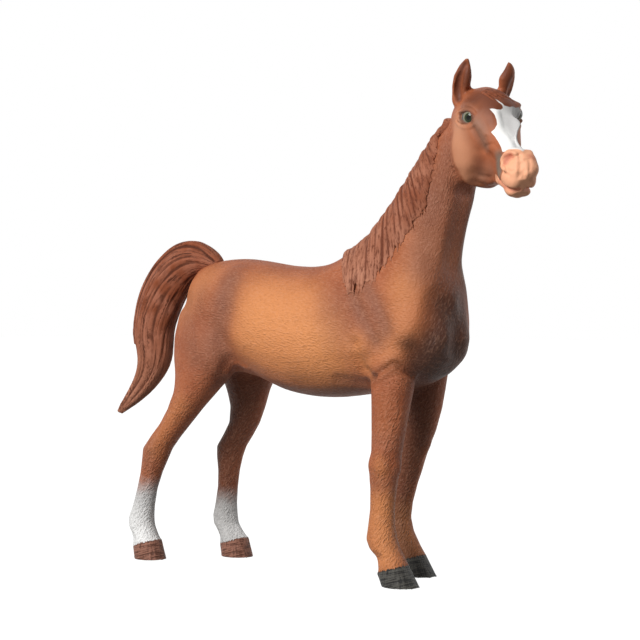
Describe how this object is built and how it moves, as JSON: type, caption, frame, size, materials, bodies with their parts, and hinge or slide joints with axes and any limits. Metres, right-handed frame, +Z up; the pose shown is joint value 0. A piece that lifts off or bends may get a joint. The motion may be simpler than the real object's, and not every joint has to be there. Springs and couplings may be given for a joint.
{
  "type": "toy horse figure",
  "caption": "Standing toy horse, moulded in glued pieces: hollow body halves, turned head, hanging mane, arched tail and four hoofed legs.",
  "frame": {"origin": "middle of the figure's bounding box, on the floor under the soles", "axes": "+X towards the nose, +Y towards the horse's left, +Z up"},
  "size_m": [0.1296, 0.0298, 0.1137],
  "materials": {
    "coat": "satin painted PVC, chestnut with fine moulded hair",
    "face": "satin painted PVC, chestnut with a white blaze, a pink muzzle and glossy painted eyes",
    "hair": "satin painted PVC, reddish brown with deep strands",
    "fore_leg": "satin painted PVC, tan below the knee, with dark grey hooves",
    "hind_leg": "satin painted PVC, chestnut with white socks and brown hooves"
  },
  "bodies": {
    "root": {"body_shell_right": "coat", "body_shell_left": "coat", "head": "face", "mane": "hair", "tail": "hair", "foreleg_right": "fore_leg", "foreleg_left": "fore_leg", "hindleg_right": "hind_leg", "hindleg_left": "hind_leg"}
  },
  "joints": []
}
